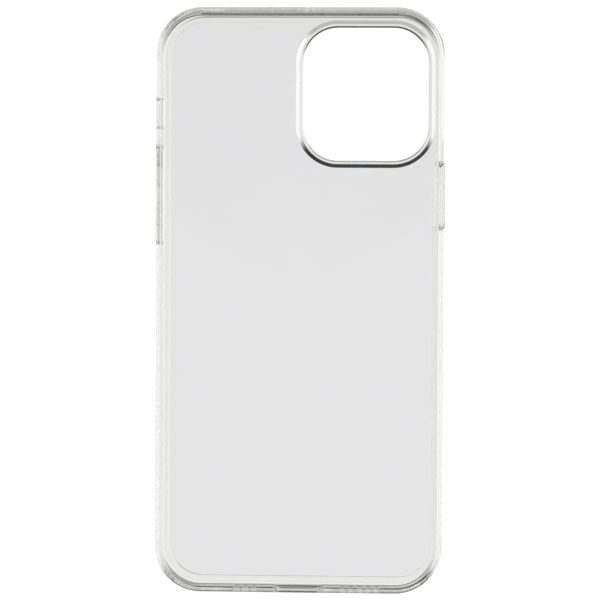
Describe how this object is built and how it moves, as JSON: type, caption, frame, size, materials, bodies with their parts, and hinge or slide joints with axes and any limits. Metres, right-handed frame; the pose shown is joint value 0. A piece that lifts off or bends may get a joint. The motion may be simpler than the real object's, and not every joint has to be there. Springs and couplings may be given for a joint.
{
  "type": "phone case",
  "caption": "Slim clear phone case: hard back panel in a soft bumper frame with camera guard ring, press-through side buttons and open port, speaker and switch cut-outs.",
  "frame": {"origin": "middle of the case in plan, level with the foot of the camera guard ring", "axes": "+Z from the back to the open screen side, +Y to the top of the phone, +X to the right of someone looking into the open side"},
  "size_m": [0.0814, 0.1638, 0.0108],
  "materials": {
    "clear_panel": "clear hard polycarbonate, polished, with a very slight smoke tint",
    "clear_frame": "clear flexible thermoplastic polyurethane, glossy, faintly warm at its thick edges"
  },
  "bodies": {
    "shell": {"back_panel": "clear_panel", "bumper_frame": "clear_frame", "camera_guard_ring": "clear_frame", "volume_web": "clear_frame", "power_web": "clear_frame"},
    "volume_up": {"volume_up_button": "clear_frame"},
    "volume_down": {"volume_down_button": "clear_frame"},
    "power": {"power_button": "clear_frame"}
  },
  "joints": [
    {"name": "volume_up_press", "type": "slide", "parent": "shell", "child": "volume_up", "axis": [1, 0, 0], "range_m": [0, 0.00035], "stiffness_N_per_m": 1500, "deforming": ["volume_web"]},
    {"name": "volume_down_press", "type": "slide", "parent": "shell", "child": "volume_down", "axis": [1, 0, 0], "range_m": [0, 0.00035], "stiffness_N_per_m": 1500, "deforming": ["volume_web"]},
    {"name": "power_press", "type": "slide", "parent": "shell", "child": "power", "axis": [-1, 0, 0], "range_m": [0, 0.00035], "stiffness_N_per_m": 1500, "deforming": ["power_web"]}
  ]
}
